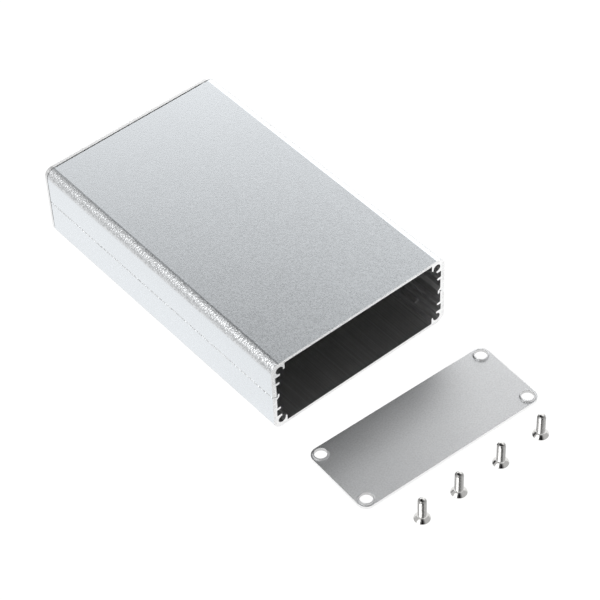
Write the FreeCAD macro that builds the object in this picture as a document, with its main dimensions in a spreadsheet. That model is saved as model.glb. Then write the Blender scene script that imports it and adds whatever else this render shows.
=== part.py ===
import FreeCAD, Part
import Sketcher
import math
import os

# Extruded aluminium enclosure with its front end plate taken off.
# Two alike extruded halves slot into each other along both sides. Four countersunk screws in
# the corner channels hold the rear end plate on. The front end plate lies before the open
# mouth, its countersunk face down, with its four screws stood on their heads beside it.
# Millimetres. +X is across, +Y runs from the open mouth to the rear plate and +Z is up.
# The origin is in the middle of the underside.

# Driving dimensions: alias, value and what it is
DRIVING = [
    ("width", 64.0, "outside width of the closed shell"),
    ("height", 25.8, "outside height of the closed shell"),
    ("length", 104.1, "length of the extrusions"),
    ("corner", 3.0, "outside radius of the four long edges"),
    ("floor_wall", 1.0, "thickness of the broad walls"),
    ("side_wall", 1.5, "thickness of the side walls"),
    ("seam_shift", 0.7, "height of the tongue side's seam over the middle"),
    ("seam_gap", 0.2, "play between the two halves along the seam"),
    ("seam_bevel", 0.2, "bevel on the outer edges of the seam"),
    ("seam_slope", 0.5, "drop of the seam's ledge for each mm inwards"),
    ("toe_round", 0.3, "rounding of the plain wall end that stands before the tongue"),
    ("tongue_gap", 0.3, "play between the tongue and the wall before it"),
    ("tongue_wall", 0.65, "thickness of the tongue"),
    ("tongue_rise", 0.25, "height of the tongue over the seam"),
    ("tongue_root", 0.9, "depth under the seam at which the tongue's root splays"),
    ("rib_wall", 0.85, "thickness of the plain card rib"),
    ("rib_reach", 2.75, "distance of the card rib's tip from the side face"),
    ("card_slot", 2.4, "clear width of the card slot between the two ribs"),
    ("slot_sink", 0.2, "depth by which the card slot is sunk into the side wall"),
    ("channel_core", 2.1, "diameter of an extruded screw channel"),
    ("channel_side", 2.95, "distance of a screw channel from the side face"),
    ("channel_floor", 2.85, "distance of a screw channel from the broad face"),
    ("channel_rib_wall", 0.8, "wall between a screw channel and its card slot"),
    ("channel_hold", 0.1, "reach of that wall's tip past the channel's middle"),
    ("channel_tip_round", 0.4, "rounding of that wall's tip"),
    ("hook_wall", 0.55, "thickness of the hook beside a screw channel"),
    ("screw_thread", 2.5, "outside diameter of the screw thread"),
    ("thread_clearance", 0.05, "play all round a screw in its cut thread"),
    ("thread_depth", 9.0, "depth of the thread cut into each end of a screw channel"),
    ("screw_length", 8.0, "length of a screw over all"),
    ("screw_tip", 0.4, "bevel at the screw's tip"),
    ("head_wide", 4.7, "diameter of the countersunk head"),
    ("head_rim", 0.15, "height of the straight rim of the head"),
    ("drive_span", 2.4, "span of the cross recess"),
    ("drive_slot", 0.65, "width of the cross recess's arms"),
    ("drive_depth", 0.9, "depth of the cross recess"),
    ("plate_wall", 1.2, "thickness of an end plate"),
    ("plate_inset", 0.1, "step of the plate's edge inside the shell's outline"),
    ("plate_round", 0.3, "rounding of the edge of the plate's outer face"),
    ("plate_hole", 3.8, "diameter of a plate hole under its countersink"),
    ("boss_wide", 4.8, "diameter of the pressed boss round a plate hole"),
    ("boss_rise", 0.5, "height of the boss over the plate's inner face"),
    ("loose_plate_gap", 14.5, "floor between the mouth and the loose plate"),
    ("loose_plate_across", -0.05, "sideways place of the loose plate"),
    ("loose_plate_turn", -2.5, "turn of the loose plate on the floor, in degrees"),
    ("loose_row_gap", 10.2, "floor between the loose plate and the row of screws"),
    ("loose_screw_first", -22.0, "sideways place of the first loose screw"),
    ("loose_screw_second", -8.5, "sideways place of the second loose screw"),
    ("loose_screw_third", 7.1, "sideways place of the third loose screw"),
    ("loose_screw_fourth", 22.3, "sideways place of the fourth loose screw"),
]

# Distances worked out from the driving dimensions, as expressions
HALF_WIDTH = "Sizes.width / 2"
HALF_HEIGHT = "Sizes.height / 2"
HALF_LENGTH = "Sizes.length / 2"
CORE_RADIUS = "(Sizes.channel_core / 2)"
THREAD_RADIUS = "(Sizes.screw_thread / 2 + Sizes.thread_clearance)"
CHANNEL_ACROSS = "(Sizes.width / 2 - Sizes.channel_side)"
CHANNEL_UP = "(Sizes.height / 2 - Sizes.channel_floor)"
PLATE_HALF_WIDTH = "(Sizes.width / 2 - Sizes.plate_inset)"
PLATE_HALF_HEIGHT = "(Sizes.height / 2 - Sizes.plate_inset)"
PLATE_CORNER = "(Sizes.corner - Sizes.plate_inset)"
LOOSE_PLATE_ALONG = f"(-{HALF_LENGTH} - Sizes.loose_plate_gap - {PLATE_HALF_HEIGHT})"
LOOSE_ROW_ALONG = f"({LOOSE_PLATE_ALONG} - {PLATE_HALF_HEIGHT} - Sizes.loose_row_gap)"

ACROSS = FreeCAD.Vector(1, 0, 0)
ALONG = FreeCAD.Vector(0, 1, 0)
UP = FreeCAD.Vector(0, 0, 1)
FULL_TURN = 360
HALF_TURN = 180
QUARTER_TURN = 90
COUNTERSINK_ANGLE = 90
BOSS_TAPER = -25
NEARLY_NOTHING = 1e-3


def make_sheet(doc):
    """The sheet of driving dimensions, one alias to a row."""
    sheet = doc.addObject("Spreadsheet::Sheet", "Sizes")
    for row, (alias, value, meaning) in enumerate(DRIVING, start=1):
        sheet.set(f"A{row}", alias)
        sheet.set(f"B{row}", str(value))
        sheet.setAlias(f"B{row}", alias)
        sheet.set(f"C{row}", meaning)
    doc.recompute()
    return sheet


def own_plane(body, role):
    """The body's own base plane of that role."""
    return next(item for item in body.Origin.OriginFeatures if item.Role == role)


def make_sketch(body, name, role):
    """An empty sketch on one of the body's own planes."""
    sketch = body.newObject("Sketcher::SketchObject", name)
    sketch.AttachmentSupport = [(own_plane(body, role), "")]
    sketch.MapMode = "FlatFace"
    return sketch


def arc_between(start, end, centre, is_long):
    """An anticlockwise arc, and which of its ends are the start and the end of the stretch."""
    first = math.atan2(start.y - centre.y, start.x - centre.x)
    last = math.atan2(end.y - centre.y, end.x - centre.x)
    circle = Part.Circle(centre, UP, start.distanceToPoint(centre))
    forward = (last - first) % (2 * math.pi)
    if (forward > math.pi) == is_long:
        return Part.ArcOfCircle(circle, first, first + forward), (1, 2)
    return Part.ArcOfCircle(circle, last, last + 2 * math.pi - forward), (2, 1)


def draw_outline(sketch, points):
    """A closed outline. Each point is its name, its two coordinates and the stretch that leads
    on from it: None for a line, or an arc's centre, its radius and whether it is the long way
    round. Every point is held by its coordinates and every arc by its radius."""
    spots = [
        FreeCAD.Vector(sketch.evalExpression(across), sketch.evalExpression(up), 0)
        for name, across, up, stretch in points
    ]
    geometry = []
    ends = []
    for index, (name, across, up, stretch) in enumerate(points):
        start = spots[index]
        end = spots[(index + 1) % len(spots)]
        if stretch is None:
            geometry.append(Part.LineSegment(start, end))
            ends.append((1, 2))
            continue
        centre_across, centre_up, radius, is_long = stretch
        centre = FreeCAD.Vector(
            sketch.evalExpression(centre_across), sketch.evalExpression(centre_up), 0
        )
        arc, order = arc_between(start, end, centre, is_long)
        geometry.append(arc)
        ends.append(order)
    sketch.addGeometry(geometry, False)

    constraints = []
    bindings = []
    for index, (name, across, up, stretch) in enumerate(points):
        following = (index + 1) % len(points)
        constraints.append(
            Sketcher.Constraint(
                "Coincident", index, ends[index][1], following, ends[following][0]
            )
        )
    for index, (name, across, up, stretch) in enumerate(points):
        corner = (-1, 1, index, ends[index][0])
        bindings.append((len(constraints), f"{name}_across", across))
        constraints.append(Sketcher.Constraint("DistanceX", *corner, spots[index].x))
        bindings.append((len(constraints), f"{name}_up", up))
        constraints.append(Sketcher.Constraint("DistanceY", *corner, spots[index].y))
        if stretch is not None:
            radius = stretch[2]
            bindings.append((len(constraints), f"{name}_radius", radius))
            constraints.append(
                Sketcher.Constraint("Radius", index, sketch.evalExpression(radius))
            )
    sketch.addConstraint(constraints)
    for number, name, expression in bindings:
        sketch.renameConstraint(number, name)
        sketch.setExpression(f"Constraints.{name}", expression)


def tongue_points():
    """The wall end that carries the tongue, from the side face inwards, as depth from the side
    face and height: a ledge that drops inwards and the round-topped tongue behind it."""
    seam = f"({HALF_HEIGHT} + Sizes.seam_shift)"
    ledge = f"({seam} - Sizes.seam_gap / 2)"
    front = "(Sizes.side_wall + Sizes.tongue_gap)"
    middle = f"({front} + Sizes.tongue_wall / 2)"
    back = f"({front} + Sizes.tongue_wall)"
    top = f"({seam} + Sizes.tongue_rise)"
    shoulder = f"({top} - Sizes.tongue_wall / 2)"
    valley = f"{ledge} - Sizes.seam_slope * ({front} - Sizes.seam_bevel)"
    root = f"({seam} - Sizes.tongue_root)"
    crown = (middle, shoulder, "Sizes.tongue_wall / 2", False)
    return [
        ("seam_edge", "0", f"{ledge} - Sizes.seam_bevel", None),
        ("ledge_outer", "Sizes.seam_bevel", ledge, None),
        ("ledge_inner", front, valley, None),
        ("tongue_front", front, shoulder, crown),
        ("tongue_top", middle, top, crown),
        ("tongue_back", back, shoulder, None),
        ("tongue_root", back, root, None),
        ("tongue_foot", "Sizes.side_wall", f"{root} - ({back} - Sizes.side_wall)", None),
    ]


def toe_points():
    """The plain wall end that stands before the other half's tongue, its edge cut to the same
    slope as the ledge that it meets and rounded inside."""
    seam = f"({HALF_HEIGHT} - Sizes.seam_shift)"
    ledge = f"({seam} - Sizes.seam_gap / 2)"
    inner = "(Sizes.side_wall - Sizes.toe_round)"
    tip = f"({ledge} + Sizes.seam_slope * ({inner} - Sizes.seam_bevel))"
    flank = f"({tip} - Sizes.toe_round)"
    return [
        ("seam_edge", "0", f"{ledge} - Sizes.seam_bevel", None),
        ("ledge_outer", "Sizes.seam_bevel", ledge, None),
        ("toe_tip", inner, tip, (inner, flank, "Sizes.toe_round", False)),
        ("toe_flank", "Sizes.side_wall", flank, None),
    ]


def side_points(wall_end):
    """One side of a half's section from the foot of its corner, up the outside, over the wall
    end and down the inside past the card ribs and the screw channel to the floor."""
    corner = ("Sizes.corner", "Sizes.corner", "Sizes.corner", False)
    slot_low = f"(Sizes.channel_floor + {THREAD_RADIUS} + Sizes.channel_rib_wall)"
    slot_high = f"({slot_low} + Sizes.card_slot)"
    slot_floor = "(Sizes.side_wall - Sizes.slot_sink)"
    rib_middle = f"({slot_high} + Sizes.rib_wall / 2)"
    rib_shoulder = "(Sizes.rib_reach - Sizes.rib_wall / 2)"
    rib_tip = (rib_shoulder, rib_middle, "Sizes.rib_wall / 2", False)
    lip = "(Sizes.channel_side + Sizes.channel_hold)"
    lip_shoulder = f"({lip} - Sizes.channel_tip_round)"
    lip_height = f"({slot_low} - Sizes.channel_tip_round)"
    lip_tip = (lip_shoulder, lip_height, "Sizes.channel_tip_round", False)
    mouth_up = (
        f"Sizes.channel_floor + sqrt({CORE_RADIUS} * {CORE_RADIUS}"
        " - Sizes.channel_hold * Sizes.channel_hold)"
    )
    channel = ("Sizes.channel_side", "Sizes.channel_floor", CORE_RADIUS, True)
    hook_front = f"(Sizes.channel_side + {CORE_RADIUS})"
    hook_back = f"(Sizes.channel_side + {THREAD_RADIUS} + Sizes.hook_wall)"
    hook_round = f"(({hook_back} - {hook_front}) / 2)"
    hook_middle = f"({hook_front} + {hook_round})"
    hook_tip = (hook_middle, "Sizes.channel_floor", hook_round, False)
    return [
        ("corner_foot", "Sizes.corner", "0", corner),
        ("corner_top", "0", "Sizes.corner", None),
        *wall_end,
        ("rib_root_high", "Sizes.side_wall", f"{slot_high} + Sizes.rib_wall", None),
        ("rib_tip_high", rib_shoulder, f"{slot_high} + Sizes.rib_wall", rib_tip),
        ("rib_tip", "Sizes.rib_reach", rib_middle, rib_tip),
        ("rib_tip_low", rib_shoulder, slot_high, None),
        ("rib_root_low", slot_floor, slot_high, None),
        ("lip_root", slot_floor, slot_low, None),
        ("lip_shoulder", lip_shoulder, slot_low, lip_tip),
        ("lip_tip", lip, lip_height, None),
        ("channel_mouth", lip, mouth_up, channel),
        ("hook_front", hook_front, "Sizes.channel_floor", hook_tip),
        ("hook_top", hook_middle, f"Sizes.channel_floor + {hook_round}", hook_tip),
        ("hook_back", hook_back, "Sizes.channel_floor", None),
        ("hook_foot", hook_back, "Sizes.floor_wall", None),
    ]


def right_side(points):
    """Section points with their depth from the side face turned into a place right of centre."""
    placed = []
    for name, depth, up, stretch in points:
        if stretch is not None:
            centre_depth, centre_up, radius, is_long = stretch
            stretch = (f"{HALF_WIDTH} - {centre_depth}", centre_up, radius, is_long)
        placed.append((f"right_{name}", f"{HALF_WIDTH} - {depth}", up, stretch))
    return placed


def left_side(points):
    """The same on the left, in the opposite order, so that the two sides close one outline."""
    placed = []
    for index in range(len(points) - 1, -1, -1):
        name, depth, up, own_stretch = points[index]
        stretch = points[index - 1][3] if index else None
        if stretch is not None:
            centre_depth, centre_up, radius, is_long = stretch
            stretch = (f"{centre_depth} - {HALF_WIDTH}", centre_up, radius, is_long)
        placed.append((f"left_{name}", f"{depth} - {HALF_WIDTH}", up, stretch))
    return placed


def mark_holes(body, name, role, spots, radius):
    """A sketch of circles round the holes, each held by its centre and its radius."""
    marks = make_sketch(body, name, role)
    for across, up in spots:
        spot = FreeCAD.Vector(marks.evalExpression(across), marks.evalExpression(up), 0)
        size = marks.evalExpression(radius)
        circle = marks.addGeometry(Part.Circle(spot, UP, size), False)
        for constraint, expression in (
            (Sketcher.Constraint("DistanceX", -1, 1, circle, 3, spot.x), across),
            (Sketcher.Constraint("DistanceY", -1, 1, circle, 3, spot.y), up),
            (Sketcher.Constraint("Radius", circle, size), radius),
        ):
            number = marks.addConstraint(constraint)
            marks.setExpression(f"Constraints[{number}]", expression)
    return marks


def make_shell(doc, label):
    """One extruded half, floor down: the tongue is on its left side and the toe on its right.
    Both ends of its two screw channels are opened out for the thread of the screws."""
    body = doc.addObject("PartDesign::Body", label)
    section = make_sketch(body, f"{label}_section", "XZ_Plane")
    right = right_side(side_points(toe_points()))
    left = left_side(side_points(tongue_points()))
    draw_outline(section, right + left)
    extrusion = body.newObject("PartDesign::Pad", f"{label}_extrusion")
    extrusion.Profile = section
    extrusion.SideType = "Symmetric"
    extrusion.setExpression("Length", "Sizes.length")

    spots = [(f"{side}{CHANNEL_ACROSS}", "Sizes.channel_floor") for side in ("", "-")]
    mouths = mark_holes(body, f"{label}_channel_mouths", "XZ_Plane", spots, THREAD_RADIUS)
    mouths.setExpression("AttachmentOffset.Base.z", HALF_LENGTH)
    doc.recompute()
    front = body.newObject("PartDesign::Hole", f"{label}_front_threads")
    front.Profile = mouths
    front.ThreadType = "None"
    front.DepthType = "Dimension"
    front.DrillPoint = "Flat"
    front.setExpression("Diameter", f"2 * {THREAD_RADIUS}")
    front.setExpression("Depth", "Sizes.thread_depth")
    rear = body.newObject("PartDesign::Mirrored", f"{label}_rear_threads")
    rear.Originals = [front]
    rear.MirrorPlane = (own_plane(body, "XZ_Plane"), [""])
    body.Tip = rear
    return body


def plate_outline():
    """The round-cornered outline of an end plate, anticlockwise about its middle."""
    flat_across = f"({PLATE_HALF_WIDTH} - {PLATE_CORNER})"
    flat_up = f"({PLATE_HALF_HEIGHT} - {PLATE_CORNER})"
    points = []
    for name, side, level in (
        ("low_right", "", "-"),
        ("high_right", "", ""),
        ("high_left", "-", ""),
        ("low_left", "-", "-"),
    ):
        corner = (f"{side}{flat_across}", f"{level}{flat_up}", PLATE_CORNER, False)
        on_edge = (f"{side}{flat_across}", f"{level}{PLATE_HALF_HEIGHT}")
        on_end = (f"{side}{PLATE_HALF_WIDTH}", f"{level}{flat_up}")
        starts_on_edge = (side == "") == (level == "-")
        first, second = (on_edge, on_end) if starts_on_edge else (on_end, on_edge)
        points.append((f"{name}_first", *first, corner))
        points.append((f"{name}_second", *second, None))
    return points


def make_plate(doc, label):
    """An end plate, its countersunk outer face on the XY plane and its thickness below it. A
    pressed boss stands round each hole on the inner face."""
    body = doc.addObject("PartDesign::Body", label)
    outline = make_sketch(body, f"{label}_outline", "XY_Plane")
    draw_outline(outline, plate_outline())
    blank = body.newObject("PartDesign::Pad", f"{label}_blank")
    blank.Profile = outline
    blank.Reversed = True
    blank.setExpression("Length", "Sizes.plate_wall")
    doc.recompute()
    face_edges = [
        f"Edge{index}"
        for index, edge in enumerate(blank.Shape.Edges, start=1)
        if edge.BoundBox.ZMin > -NEARLY_NOTHING
    ]
    rounded = body.newObject("PartDesign::Fillet", f"{label}_rounded_edge")
    rounded.Base = (blank, face_edges)
    rounded.setExpression("Radius", "Sizes.plate_round")

    spots = [
        (f"{side}{CHANNEL_ACROSS}", f"{level}{CHANNEL_UP}")
        for side in ("", "-")
        for level in ("", "-")
    ]
    rings = mark_holes(body, f"{label}_boss_marks", "XY_Plane", spots, "Sizes.boss_wide / 2")
    rings.setExpression("AttachmentOffset.Base.z", "-Sizes.plate_wall")
    doc.recompute()
    bosses = body.newObject("PartDesign::Pad", f"{label}_bosses")
    bosses.Profile = rings
    bosses.Reversed = True
    bosses.TaperAngle = BOSS_TAPER
    bosses.setExpression("Length", "Sizes.boss_rise")

    marks = mark_holes(body, f"{label}_hole_marks", "XY_Plane", spots, "Sizes.plate_hole / 2")
    doc.recompute()
    holes = body.newObject("PartDesign::Hole", f"{label}_holes")
    holes.Profile = marks
    holes.ThreadType = "None"
    holes.DepthType = "ThroughAll"
    holes.HoleCutType = "Countersink"
    holes.HoleCutCustomValues = True
    holes.HoleCutCountersinkAngle = COUNTERSINK_ANGLE
    holes.setExpression("Diameter", "Sizes.plate_hole")
    holes.setExpression("HoleCutDiameter", "Sizes.head_wide + 2 * Sizes.head_rim")
    return body


def make_screw(doc, label):
    """A countersunk screw stood on its head, the flat of the head on the XY plane."""
    body = doc.addObject("PartDesign::Body", label)
    profile = make_sketch(body, f"{label}_profile", "XZ_Plane")
    head = "Sizes.head_wide / 2"
    shank = "Sizes.screw_thread / 2"
    cone_end = f"Sizes.head_rim + {head} - {shank}"
    draw_outline(
        profile,
        [
            ("axis_head", "0", "0", None),
            ("head_edge", head, "0", None),
            ("head_rim", head, "Sizes.head_rim", None),
            ("cone_end", shank, cone_end, None),
            ("tip_shoulder", shank, "Sizes.screw_length - Sizes.screw_tip", None),
            ("tip_edge", f"{shank} - Sizes.screw_tip", "Sizes.screw_length", None),
            ("axis_tip", "0", "Sizes.screw_length", None),
        ],
    )
    turned = body.newObject("PartDesign::Revolution", f"{label}_turned")
    turned.Profile = profile
    turned.ReferenceAxis = (profile, ["V_Axis"])
    turned.Angle = FULL_TURN

    cross = make_sketch(body, f"{label}_cross", "XY_Plane")
    arm = "Sizes.drive_span / 2"
    slot = "Sizes.drive_slot / 2"
    quadrant = [(arm, slot), (slot, slot), (slot, arm)]
    corners = []
    for side, level in (("", ""), ("-", ""), ("-", "-"), ("", "-")):
        turn = [(f"{side}{across}", f"{level}{up}") for across, up in quadrant]
        is_mirrored = (side == "-") != (level == "-")
        corners += turn[::-1] if is_mirrored else turn
    draw_outline(
        cross, [(f"arm_{index}", *spot, None) for index, spot in enumerate(corners)]
    )
    recess = body.newObject("PartDesign::Pocket", f"{label}_recess")
    recess.Profile = cross
    recess.Reversed = True
    recess.setExpression("Length", "Sizes.drive_depth")
    return body


def place(body, rotation, across, along, up):
    """Turn a body, and hold its place by expressions."""
    body.Placement = FreeCAD.Placement(FreeCAD.Vector(0, 0, 0), rotation)
    body.setExpression("Placement.Base.x", across)
    body.setExpression("Placement.Base.y", along)
    body.setExpression("Placement.Base.z", up)


def build_enclosure(doc, sheet):
    """Every piece of the enclosure in its place."""
    level = FreeCAD.Rotation()
    upside_down = FreeCAD.Rotation(ALONG, HALF_TURN)
    facing_rear = FreeCAD.Rotation(ACROSS, -QUARTER_TURN)
    tip_forward = FreeCAD.Rotation(ACROSS, QUARTER_TURN)
    yaw = FreeCAD.Rotation(UP, sheet.loose_plate_turn)
    face_down = yaw.multiply(FreeCAD.Rotation(ACROSS, HALF_TURN))
    rear_face = f"{HALF_LENGTH} + Sizes.boss_rise + Sizes.plate_wall"
    bodies = []

    lower = make_shell(doc, "lower_shell")
    place(lower, level, "0", "0", "0")
    upper = make_shell(doc, "upper_shell")
    place(upper, upside_down, "0", "0", "Sizes.height")
    bodies += [lower, upper]

    rear = make_plate(doc, "rear_plate")
    place(rear, facing_rear, "0", rear_face, HALF_HEIGHT)
    front = make_plate(doc, "front_plate")
    place(front, face_down, "Sizes.loose_plate_across", LOOSE_PLATE_ALONG, "0")
    bodies += [rear, front]

    for level_name, level_sign in (("lower", "-"), ("upper", "+")):
        for side_name, side_sign in (("left", "-"), ("right", "")):
            screw = make_screw(doc, f"rear_screw_{level_name}_{side_name}")
            across = f"{side_sign}{CHANNEL_ACROSS}"
            up = f"{HALF_HEIGHT} {level_sign} {CHANNEL_UP}"
            place(screw, tip_forward, across, rear_face, up)
            bodies.append(screw)

    for number, alias in enumerate(
        ("loose_screw_first", "loose_screw_second", "loose_screw_third", "loose_screw_fourth"),
        start=1,
    ):
        screw = make_screw(doc, f"front_screw_{number}")
        place(screw, level, f"Sizes.{alias}", LOOSE_ROW_ALONG, "0")
        bodies.append(screw)
    return bodies


def check(doc, bodies):
    """Stop on any object that failed and on any piece that isn't one valid solid."""
    for item in doc.Objects:
        if "Invalid" in item.State or "Error" in item.State:
            raise RuntimeError(f"{item.Label} failed: {item.State}")
    for sketch in doc.findObjects("Sketcher::SketchObject"):
        if not sketch.FullyConstrained:
            raise RuntimeError(f"{sketch.Label} isn't fully constrained")
    for body in bodies:
        shape = body.Shape
        if shape.isNull() or not shape.isValid() or len(shape.Solids) != 1:
            raise RuntimeError(f"{body.Label} isn't one valid solid")


def check_cuts(bodies):
    """Stop if a recess or a set of holes took nothing away."""
    cutting = ("PartDesign::Pocket", "PartDesign::Hole", "PartDesign::Mirrored")
    for body in bodies:
        for feature in body.Group:
            if feature.TypeId in cutting:
                before = feature.BaseFeature.Shape.Volume
                if feature.Shape.Volume >= before:
                    raise RuntimeError(f"{feature.Label} cuts nothing")


def main():
    doc = FreeCAD.newDocument("Enclosure")
    sheet = make_sheet(doc)
    bodies = build_enclosure(doc, sheet)
    doc.recompute()
    check(doc, bodies)
    check_cuts(bodies)
    os.makedirs("parts", exist_ok=True)
    for body in bodies:
        body.Shape.exportStep(f"parts/{body.Label}.step")
        print(f"{body.Label}: {body.Shape.Volume:.2f} cubic mm")


main()
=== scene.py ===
import math

import bmesh
import bpy
from mathutils import Matrix, Vector


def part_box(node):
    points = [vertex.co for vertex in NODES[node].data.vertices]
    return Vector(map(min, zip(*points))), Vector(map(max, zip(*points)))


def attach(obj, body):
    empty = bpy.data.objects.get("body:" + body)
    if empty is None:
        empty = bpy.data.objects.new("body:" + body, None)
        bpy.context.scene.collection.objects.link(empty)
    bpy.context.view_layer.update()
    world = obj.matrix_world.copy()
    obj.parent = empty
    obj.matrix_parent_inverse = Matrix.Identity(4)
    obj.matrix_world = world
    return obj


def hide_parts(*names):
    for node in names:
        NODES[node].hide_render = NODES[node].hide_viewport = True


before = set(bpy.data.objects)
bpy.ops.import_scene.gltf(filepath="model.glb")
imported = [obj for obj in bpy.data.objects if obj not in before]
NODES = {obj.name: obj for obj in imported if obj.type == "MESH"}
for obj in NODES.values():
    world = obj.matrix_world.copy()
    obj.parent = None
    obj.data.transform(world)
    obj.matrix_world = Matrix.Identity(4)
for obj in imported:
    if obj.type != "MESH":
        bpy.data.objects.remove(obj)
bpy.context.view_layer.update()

MM = 0.001
SCREW_NODES = sorted(name for name in NODES if "screw" in name)
SHELL_NODES = ("upper_shell", "lower_shell")

# The part's measures that the materials follow, in millimetres
MID_HEIGHT = 12.9
INNER_HALF_WIDTH, INNER_HALF_HEIGHT = 31.0, 12.1
HOLE_ASIDE, HOLE_BESIDE = 29.05, 10.05
HOLE_WALL = 2.45
LOOSE_PLATE_X, LOOSE_PLATE_Y, LOOSE_PLATE_TURN = -0.05, -79.35, -2.5


# Camera: the photograph's place, turn and lens
CAMERA_PLACE = (-0.28289, -0.38771, 0.49595)
CAMERA_TURN = (0.756349, 0.034265, -0.699419)
CAMERA_LENS = 139.16


def make_camera():
    data = bpy.data.cameras.new("camera")
    data.lens = CAMERA_LENS
    data.sensor_width = 36.0
    data.clip_start, data.clip_end = 0.05, 20.0
    camera = bpy.data.objects.new("camera", data)
    camera.location = CAMERA_PLACE
    camera.rotation_euler = CAMERA_TURN
    bpy.context.scene.collection.objects.link(camera)
    bpy.context.scene.camera = camera


# Nodes
class Nodes:
    """A node tree with short calls: add a node with its settings, join sockets."""

    def __init__(self, tree):
        self.tree = tree
        tree.nodes.clear()

    def add(self, kind, inputs=None, **settings):
        node = self.tree.nodes.new(kind)
        for name, value in settings.items():
            setattr(node, name, value)
        for name, value in (inputs or {}).items():
            self.feed(node, name, value)
        return node

    def feed(self, node, name, value):
        if isinstance(value, bpy.types.NodeSocket):
            self.tree.links.new(value, node.inputs[name])
        else:
            node.inputs[name].default_value = value

    def maths(self, operation, *values):
        node = self.add("ShaderNodeMath", operation=operation)
        for index, value in enumerate(values):
            self.feed(node, index, value)
        return node.outputs[0]

    def ramp(self, value, stops):
        node = self.add("ShaderNodeValToRGB", {"Fac": value})
        elements = node.color_ramp.elements
        for index, (place, colour) in enumerate(stops):
            element = elements[index] if index < 2 else elements.new(place)
            element.position = place
            element.color = colour
        return node.outputs["Color"]

    def noise(self, where, scale, detail, roughness=0.5):
        node = self.add(
            "ShaderNodeTexNoise",
            {"Vector": where, "Scale": scale, "Detail": detail, "Roughness": roughness},
        )
        return node.outputs["Fac"]

    def between_values(self, value, low, high, first, last):
        """A straight change from first at low to last at high."""
        node = self.add(
            "ShaderNodeMapRange",
            {"Value": value, "From Min": low, "From Max": high, "To Min": first, "To Max": last},
        )
        return node.outputs["Result"]

    def step(self, value, edge, soft):
        """Nothing below edge and one above it, or the other way round for a negative soft."""
        node = self.add(
            "ShaderNodeMapRange",
            {"Value": value, "From Min": edge - soft, "From Max": edge + soft},
            interpolation_type="SMOOTHSTEP",
        )
        return node.outputs["Result"]

    def blend(self, share, first, last):
        node = self.add("ShaderNodeMix", {0: share, 6: first, 7: last}, data_type="RGBA")
        return node.outputs[2]


def grey(level, tint=(1.0, 1.0, 1.0)):
    return tuple(level * share for share in tint) + (1.0,)


def finish_metal(n, colour, roughness, height, depth, edge_round=0.0):
    """A metal's last nodes. depth is the relief of height, in metres, and edge_round the radius
    of its broken edges in millimetres."""
    bump = n.add("ShaderNodeBump", {"Height": height, "Strength": 1.0, "Distance": depth})
    if edge_round:
        edges = n.add("ShaderNodeBevel", {"Radius": edge_round * MM}, samples=6)
        n.feed(bump, "Normal", edges.outputs["Normal"])
    shader = n.add(
        "ShaderNodeBsdfPrincipled",
        {
            "Base Color": colour,
            "Roughness": roughness,
            "Normal": bump.outputs["Normal"],
            "Metallic": 1.0,
        },
    )
    n.add("ShaderNodeOutputMaterial", {"Surface": shader.outputs["BSDF"]})


def off_hole(n, where, standing):
    """How far a place on a plate is from the nearest hole's axis, in metres. The fitted plate
    stands across Y, and the loose one lies flat, a little turned."""
    if standing:
        middle, turn = (0.0, 0.0, MID_HEIGHT * MM), 0.0
    else:
        middle = (LOOSE_PLATE_X * MM, LOOSE_PLATE_Y * MM, 0.0)
        turn = math.radians(LOOSE_PLATE_TURN)
    own = n.add(
        "ShaderNodeMapping",
        {"Vector": where, "Location": middle, "Rotation": (0.0, 0.0, turn)},
        vector_type="TEXTURE",
    )
    own = n.add("ShaderNodeSeparateXYZ", {"Vector": own.outputs["Vector"]}).outputs
    aside = n.maths("ABSOLUTE", own["X"])
    aside = n.maths("SUBTRACT", aside, HOLE_ASIDE * MM)
    beside = n.maths("ABSOLUTE", own["Z" if standing else "Y"])
    beside = n.maths("SUBTRACT", beside, HOLE_BESIDE * MM)
    squares = n.maths("ADD", n.maths("MULTIPLY", aside, aside), n.maths("MULTIPLY", beside, beside))
    return n.maths("SQRT", squares)


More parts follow.
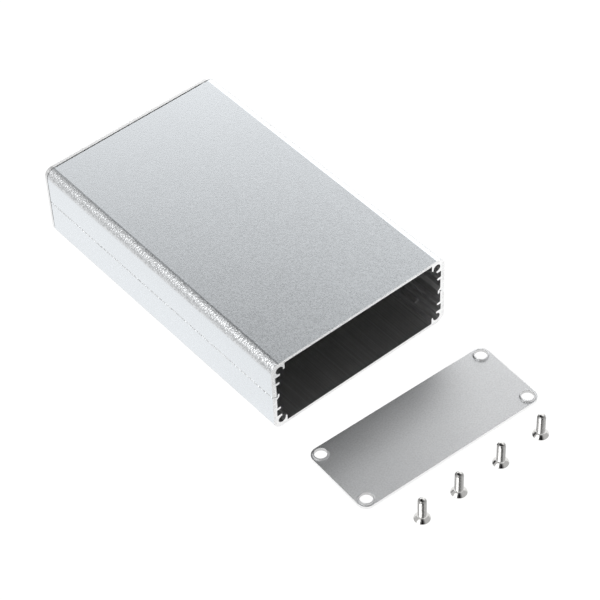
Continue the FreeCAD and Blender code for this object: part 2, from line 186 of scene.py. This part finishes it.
def metal(
    name,
    tint,
    tones,
    roughness,
    grain,
    grain_depth,
    blotch=12.0,
    broad=None,
    edge=0.0,
    painted_thread_shade=False,
):
    """A metal with a fine grain in its colour, roughness and relief and slow changes of tone.
    tones and roughness are (lowest, highest). grain, grain_depth and blotch are the grain's size
    and relief and the slow changes' size, in millimetres. For a plate, broad is the axis across
    its broad faces, its cut edges are paler and broken by edge, and its holes' walls are painted
    a darker grey as painted shade. A thread's grooves get painted shade, a darker grey."""
    material = bpy.data.materials.new(name)
    material.use_nodes = True
    n = Nodes(material.node_tree)
    coordinates = n.add("ShaderNodeTexCoord").outputs
    where = coordinates["Object"]
    fine = n.noise(where, 1.0 / (grain * MM), 1.0, 0.6)
    slow = n.noise(where, 1.0 / (blotch * MM), 2.0)
    mixed = n.maths("ADD", n.maths("MULTIPLY", fine, 0.85), n.maths("MULTIPLY", slow, 0.15))
    colour = n.ramp(mixed, [(0.3, grey(tones[0], tint)), (0.7, grey(tones[1], tint))])
    if broad:
        normal = n.add("ShaderNodeSeparateXYZ", {"Vector": coordinates["Normal"]}).outputs
        rim = n.step(n.maths("ABSOLUTE", normal[broad]), 0.5, -0.3)
        cut = n.ramp(fine, [(0.3, grey(0.9)), (0.7, grey(0.98))])
        # Painted shade: the walls of the holes are painted a darker grey, as if shade lies in them.
        painted_hole_shade = n.step(off_hole(n, where, broad == "Y"), HOLE_WALL * MM, -0.1 * MM)
        cut = n.blend(painted_hole_shade, cut, grey(0.6))
        colour = n.blend(rim, colour, cut)
    # Painted shade: the thread's grooves and the dome's foot are darkened towards a dark grey by an
    # attribute of the mesh.
    if painted_thread_shade:
        painted_groove_shade = n.add("ShaderNodeAttribute", attribute_name="painted_groove_shade").outputs["Fac"]
        colour = n.blend(n.maths("MULTIPLY", painted_groove_shade, 0.55), colour, grey(0.22))
    rough = n.between_values(mixed, 0.3, 0.7, *roughness)
    finish_metal(n, colour, rough, fine, grain_depth * MM, edge)
    return material


# The shell's grain and slow changes of tone, in millimetres, and its lines, as scales along X, Y, Z
SHELL_GRAIN, SHELL_BLOTCH = 0.5, 14.0
DIE_LINES = (4500.0, 14.0, 4500.0)
SAW_MARKS = (90.0, 6000.0, 6000.0)
FLAT_RELIEF, ROUNDED_RELIEF = 0.0055, 0.19
INSIDE_RELIEF_SHARE = 0.12


def shell_metal(name, tint):
    """Blasted and anodised outside, more deeply on the rounded edges, with the die's lines along
    the inside and bare sawn ends. tint is the anodised faces' hue."""
    material = bpy.data.materials.new(name)
    material.use_nodes = True
    n = Nodes(material.node_tree)
    coordinates = n.add("ShaderNodeTexCoord").outputs
    where = coordinates["Object"]
    normal = n.add("ShaderNodeSeparateXYZ", {"Vector": coordinates["Normal"]}).outputs
    place = n.add("ShaderNodeSeparateXYZ", {"Vector": where}).outputs

    sawn = n.step(n.maths("ABSOLUTE", normal["Y"]), 0.9, 0.05)
    sideways = n.maths("ABSOLUTE", normal["X"])
    upward = n.maths("ABSOLUTE", normal["Z"])
    flattest = n.maths("MAXIMUM", sideways, upward)
    rounded = n.step(flattest, 0.985, -0.012)
    from_side = n.maths("ABSOLUTE", place["X"])
    from_middle = n.maths("ABSOLUTE", n.maths("SUBTRACT", place["Z"], MID_HEIGHT * MM))
    inside = n.maths(
        "MULTIPLY",
        n.step(from_side, INNER_HALF_WIDTH * MM, -0.2 * MM),
        n.step(from_middle, INNER_HALF_HEIGHT * MM, -0.2 * MM),
    )

    grain = n.noise(where, 1.0 / (SHELL_GRAIN * MM), 1.5, 0.6)
    slow = n.noise(where, 1.0 / (SHELL_BLOTCH * MM), 2.0)
    along = n.add("ShaderNodeMapping", {"Vector": where, "Scale": DIE_LINES})
    lines = n.noise(along.outputs["Vector"], 1.0, 2.0, 0.6)
    across = n.add("ShaderNodeMapping", {"Vector": where, "Scale": SAW_MARKS})
    saw = n.noise(across.outputs["Vector"], 1.0, 2.0, 0.6)

    mixed = n.maths("ADD", n.maths("MULTIPLY", grain, 0.9), n.maths("MULTIPLY", slow, 0.1))
    blasted = n.ramp(
        mixed, [(0.25, grey(0.84, tint)), (0.5, grey(0.87, tint)), (0.75, grey(0.9, tint))]
    )
    worn = tuple((share + 1.0) / 2 for share in tint)
    pitted = n.ramp(
        grain, [(0.3, grey(0.62, worn)), (0.5, grey(0.89, worn)), (0.7, grey(0.99, worn))]
    )
    blasted = n.blend(rounded, blasted, pitted)
    drawn = n.ramp(lines, [(0.3, grey(0.76)), (0.7, grey(0.94))])
    cut = n.ramp(saw, [(0.3, grey(0.92)), (0.7, grey(1.0))])
    colour = n.blend(inside, blasted, drawn)
    colour = n.blend(sawn, colour, cut)
    height = n.blend(inside, grain, lines)
    height = n.blend(sawn, height, saw)
    depth = n.between_values(rounded, 0.0, 1.0, FLAT_RELIEF * MM, ROUNDED_RELIEF * MM)
    share = n.between_values(inside, 0.0, 1.0, 1.0, INSIDE_RELIEF_SHARE)
    depth = n.maths("MULTIPLY", depth, share)
    rough = n.between_values(mixed, 0.3, 0.7, 0.25, 0.31)
    rough = n.maths("ADD", rough, n.maths("MULTIPLY", inside, 0.04))
    curved = n.maths("MULTIPLY", inside, n.step(flattest, 0.93, -0.04))
    rough = n.maths("ADD", rough, n.maths("MULTIPLY", curved, 0.1))
    finish_metal(n, colour, rough, height, depth)
    return material


def dress(obj, material):
    obj.data.materials.clear()
    obj.data.materials.append(material)


# Screws: rings about the screw's axis, from the bottom of the cross recess to the tip, in
# millimetres
AROUND = 96
HEAD_R, RIM, THREAD_R, LENGTH = 2.345, 0.15, 1.25, 8.0
ARM, SLOT, RECESS = 1.2, 0.325, 0.9
CONE_STEPS = 5
PITCH, THREAD_DEPTH, RUN_IN, RINGS_IN_PITCH = 0.45, 0.27, 0.5, 10
CREST_WIDTH, FLANKS = 0.12, 0.76
TAPER, TAPER_SLOPE = 0.55, 0.8
DOME, DOME_RINGS, DOME_TURN = 0.22, 6, 14
FIRST_TURN, NEXT_TURN = 37, 53


def cross_radius(angle, arm, slot):
    """The cross recess's outline at that angle."""
    c, s = abs(math.cos(angle)), abs(math.sin(angle))
    along = max(c, s)
    aside = max(min(c, s), 1e-6)
    return max(min(arm / along, slot / aside), slot / along)


def screw_rings():
    """The angles round the axis, and each ring as its radius and height at each angle."""
    angles = [2 * math.pi * i / AROUND for i in range(AROUND)]
    rings = []

    def cross(z, arm, slot):
        rings.append([(cross_radius(a, arm, slot), z) for a in angles])

    def round_ring(z, r):
        rings.append([(r, z)] * AROUND)

    cross(RECESS, 0.45, 0.16)
    cross(RECESS - 0.1, 0.62, 0.22)
    cross(0.05, ARM - 0.03, SLOT - 0.02)
    cross(0.0, ARM + 0.02, SLOT + 0.02)
    round_ring(0.0, HEAD_R - 0.05)
    round_ring(0.015, HEAD_R - 0.012)
    round_ring(0.05, HEAD_R)
    round_ring(RIM, HEAD_R)
    neck = RIM + HEAD_R - THREAD_R
    for step in range(1, CONE_STEPS):
        share = step / CONE_STEPS
        round_ring(RIM + (neck - RIM) * share, HEAD_R + (THREAD_R - HEAD_R) * share)
    start, end = neck + 0.05, LENGTH - DOME
    count = int((end - start) / (PITCH / RINGS_IN_PITCH))
    for step in range(count + 1):
        z = start + (end - start) * step / count
        fade = min(1.0, (z - start) / RUN_IN)
        crest = min(THREAD_R, THREAD_R - TAPER_SLOPE * (z - (LENGTH - TAPER)))
        ring = []
        for a in angles:
            phase = (z / PITCH - a / (2 * math.pi)) % 1.0
            tooth = min(1.0, max(0.0, (abs(phase - 0.5) * 2 - CREST_WIDTH) / FLANKS))
            ring.append((min(crest, THREAD_R - THREAD_DEPTH * fade * tooth), z))
        rings.append(ring)
    for step in range(1, DOME_RINGS + 1):
        turn = math.radians(DOME_TURN * step)
        core = THREAD_R - THREAD_DEPTH
        round_ring(end + (LENGTH - end) * math.sin(turn), core * math.cos(turn))
    return angles, rings


def screw_mesh():
    """A screw standing on its head. Its attribute of painted shade goes from none on the thread's
    crests to one in its grooves, and on the dome from none at the tip to nearly one at its foot."""
    angles, rings = screw_rings()
    bm = bmesh.new()
    rows = [
        [
            bm.verts.new((r * MM * math.cos(a), r * MM * math.sin(a), z * MM))
            for a, (r, z) in zip(angles, ring)
        ]
        for ring in rings
    ]
    for low, high in zip(rows, rows[1:]):
        for i in range(AROUND):
            j = (i + 1) % AROUND
            bm.faces.new((low[i], low[j], high[j], high[i]))
    for row, z in ((rows[0], RECESS + 0.05), (rows[-1], LENGTH)):
        middle = bm.verts.new((0.0, 0.0, z * MM))
        for i in range(AROUND):
            bm.faces.new((row[(i + 1) % AROUND], row[i], middle))
    bmesh.ops.recalc_face_normals(bm, faces=bm.faces)
    mesh = bpy.data.meshes.new("countersunk_screw")
    bm.to_mesh(mesh)
    bm.free()
    # Painted shade: how far the colour is darkened, one in the thread's grooves, none on its
    # crests, and growing towards the dome's foot.
    painted_groove_shades = mesh.attributes.new("painted_groove_shade", "FLOAT", "POINT")
    for vertex, painted_groove_shade in zip(mesh.vertices, painted_groove_shades.data):
        off_axis = math.hypot(vertex.co.x, vertex.co.y) / MM
        if THREAD_R - THREAD_DEPTH - 0.01 < off_axis < THREAD_R + 0.01:
            painted_groove_shade.value = (THREAD_R - off_axis) / THREAD_DEPTH
        if vertex.co.z > (LENGTH - DOME - 0.03) * MM:
            painted_groove_shade.value = off_axis
    for polygon in mesh.polygons:
        polygon.use_smooth = True
    mesh.set_sharp_from_angle(angle=math.radians(34))
    return mesh


def make_screws(material):
    """A threaded screw in the place of each plain one of the frame."""
    mesh = screw_mesh()
    mesh.materials.append(material)
    upright = Matrix.Identity(4)
    tip_forward = Matrix.Rotation(math.radians(90), 4, "X")
    for order, name in enumerate(SCREW_NODES):
        low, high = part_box(name)
        middle = (low + high) / 2
        if name.startswith("front"):
            place = Vector((middle.x, middle.y, low.z))
            turn = upright
        else:
            place = Vector((middle.x, high.y, middle.z))
            turn = tip_forward
        own_turn = Matrix.Rotation(math.radians(FIRST_TURN + NEXT_TURN * order), 4, "Z")
        own_mesh = mesh.copy()
        own_mesh.transform(Matrix.Translation(place) @ turn @ own_turn)
        screw = bpy.data.objects.new(f"threaded_{name}", own_mesh)
        bpy.context.scene.collection.objects.link(screw)
        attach(screw, "root")
        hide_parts(name)


# Studio. In reflections the floor's brightness rises along X by FLOOR_RISES, each a start, an end
# and the values there, and it is higher between the two soft edges along Y before the mouth. The
# last three are what the camera sees, the share that takes shadows, and the paper that lights
# the object.
FLOOR_HALF, FLOOR_LEVEL = 3.0, -0.02 * MM
FLOOR_RISES = (
    (-130.0 * MM, -42.0 * MM, 0.53, 0.897),
    (-20.0 * MM, 60.0 * MM, 0.0, 0.09),
)
BEFORE_MOUTH = ((-57.0 * MM, -4.0 * MM), (-78.0 * MM, 6.0 * MM))
BEFORE_MOUTH_GLOW = 0.06
FLOOR_SEEN, FLOOR_SHADOWED, FLOOR_PAPER = 0.96, 0.13, 0.86


def make_floor():
    bm = bmesh.new()
    corners = [(-1, -1), (1, -1), (1, 1), (-1, 1)]
    bm.faces.new([bm.verts.new((x * FLOOR_HALF, y * FLOOR_HALF, FLOOR_LEVEL)) for x, y in corners])
    mesh = bpy.data.meshes.new("floor")
    bm.to_mesh(mesh)
    bm.free()
    floor = bpy.data.objects.new("floor", mesh)
    bpy.context.scene.collection.objects.link(floor)

    material = bpy.data.materials.new("floor_paper")
    material.use_nodes = True
    n = Nodes(material.node_tree)
    path = n.add("ShaderNodeLightPath").outputs
    seen = n.maths("MAXIMUM", path["Is Camera Ray"], path["Is Glossy Ray"])
    where = n.add("ShaderNodeTexCoord").outputs["Object"]
    place = n.add("ShaderNodeSeparateXYZ", {"Vector": where}).outputs
    rises = [n.between_values(place["X"], *rise) for rise in FLOOR_RISES]
    before_mouth = n.maths("MULTIPLY", *(n.step(place["Y"], *edge) for edge in BEFORE_MOUTH))
    before_mouth = n.maths("MULTIPLY", before_mouth, BEFORE_MOUTH_GLOW)
    mirrored = n.maths("ADD", n.maths("ADD", *rises), before_mouth)
    direct = n.maths("MULTIPLY", path["Is Camera Ray"], n.maths("SUBTRACT", FLOOR_SEEN, mirrored))
    paper = n.add("ShaderNodeBsdfDiffuse", {"Color": grey(FLOOR_PAPER)}).outputs["BSDF"]
    thin = n.add("ShaderNodeBsdfDiffuse", {"Color": grey(FLOOR_SHADOWED)}).outputs["BSDF"]
    glow = n.add(
        "ShaderNodeEmission", {"Color": grey(1.0), "Strength": n.maths("ADD", mirrored, direct)}
    ).outputs["Emission"]
    bright = n.add("ShaderNodeAddShader", {0: thin, 1: glow}).outputs["Shader"]
    shown = n.add("ShaderNodeMixShader", {0: seen, 1: paper, 2: bright}).outputs["Shader"]
    n.add("ShaderNodeOutputMaterial", {"Surface": shown})
    mesh.materials.append(material)


# The world's parts by direction, in degrees: a curtain's side, height, width and soft edge, and
# a lamp's brightness, left, right, low, high and soft edge
WALLS = 0.556
REAR_CURTAIN = (47.0, 62.7, 22.6, 14.5)
CAMERA_CURTAIN = (-143.8, 45.7, 24.0, 16.0)
LAMPS = (
    (1.3, 22.0, 62.0, -95.0, 41.0, 4.5),
    (0.70, 62.0, 80.0, -95.0, 36.0, 4.5),
    (2.6, -106.0, -60.0, 31.0, 71.0, 7.0),
    (1.2, 48.0, 80.0, 42.5, 55.0, 3.7),
)


def make_world():
    """White where the camera looks past the floor. For everything else a studio by direction:
    pale walls with a dark curtain high at the rear right and one behind the camera, a low bright
    screen at the rear right with a dimmer end, a soft box at the left, and a small lamp above the
    screen's end. around is the angle from +Y towards +X, and above the one over the horizon."""
    world = bpy.data.worlds.new("studio")
    bpy.context.scene.world = world
    world.use_nodes = True
    n = Nodes(world.node_tree)
    toward = n.add("ShaderNodeTexCoord").outputs["Generated"]
    parts = n.add("ShaderNodeSeparateXYZ", {"Vector": toward}).outputs
    around = n.maths("DEGREES", n.maths("ARCTAN2", parts["X"], parts["Y"]))
    above = n.maths("DEGREES", n.maths("ARCSINE", parts["Z"]))

    def between(value, low, high, soft):
        return n.maths("SUBTRACT", n.step(value, low, soft), n.step(value, high, soft))

    def lamp(brightness, left, right, low, high, soft):
        wide, tall = between(around, left, right, soft), between(above, low, high, soft)
        return n.maths("MULTIPLY", n.maths("MULTIPLY", wide, tall), brightness)

    def curtain(side, height, width, soft):
        """One away from that direction and none at it."""
        side, height = math.radians(side), math.radians(height)
        middle = (
            math.cos(height) * math.sin(side),
            math.cos(height) * math.cos(side),
            math.sin(height),
        )
        facing = n.add(
            "ShaderNodeVectorMath", {0: toward, 1: middle}, operation="DOT_PRODUCT"
        ).outputs["Value"]
        away = n.maths("DEGREES", n.maths("ARCCOSINE", facing))
        return n.step(away, width, soft)

    walls = n.maths("MULTIPLY", curtain(*REAR_CURTAIN), curtain(*CAMERA_CURTAIN))
    light = n.maths("MULTIPLY", walls, WALLS)
    for row in LAMPS:
        light = n.maths("ADD", light, lamp(*row))
    path = n.add("ShaderNodeLightPath").outputs["Is Camera Ray"]
    studio = n.add("ShaderNodeBackground", {"Color": grey(1.0), "Strength": light})
    white = n.add("ShaderNodeBackground", {"Color": grey(1.0), "Strength": 1.0})
    shown = n.add(
        "ShaderNodeMixShader",
        {0: path, 1: studio.outputs["Background"], 2: white.outputs["Background"]},
    )
    n.add("ShaderNodeOutputWorld", {"Surface": shown.outputs["Shader"]})


def main():
    bpy.context.scene.view_settings.view_transform = "Standard"
    make_camera()
    make_floor()
    make_world()

    shell = shell_metal("anodised_shell", (0.957, 0.995, 1.03))
    satin = {
        "tint": (0.985, 0.998, 1.012),
        "tones": (0.86, 1.0),
        "roughness": (0.33, 0.37),
        "grain": 0.42,
        "grain_depth": 0.005,
        "edge": 0.12,
    }
    plates = {
        "front_plate": metal("satin_plate", broad="Z", **satin),
        "rear_plate": metal("satin_rear_plate", broad="Y", **satin),
    }
    screw = metal(
        "plated_screw",
        tint=(1.0, 0.99, 0.97),
        tones=(0.74, 0.84),
        roughness=(0.1, 0.18),
        grain=0.2,
        grain_depth=0.001,
        blotch=2.0,
        painted_thread_shade=True,
    )
    for name in SHELL_NODES:
        dress(NODES[name], shell)
    for name, plate in plates.items():
        dress(NODES[name], plate)
    make_screws(screw)


main()
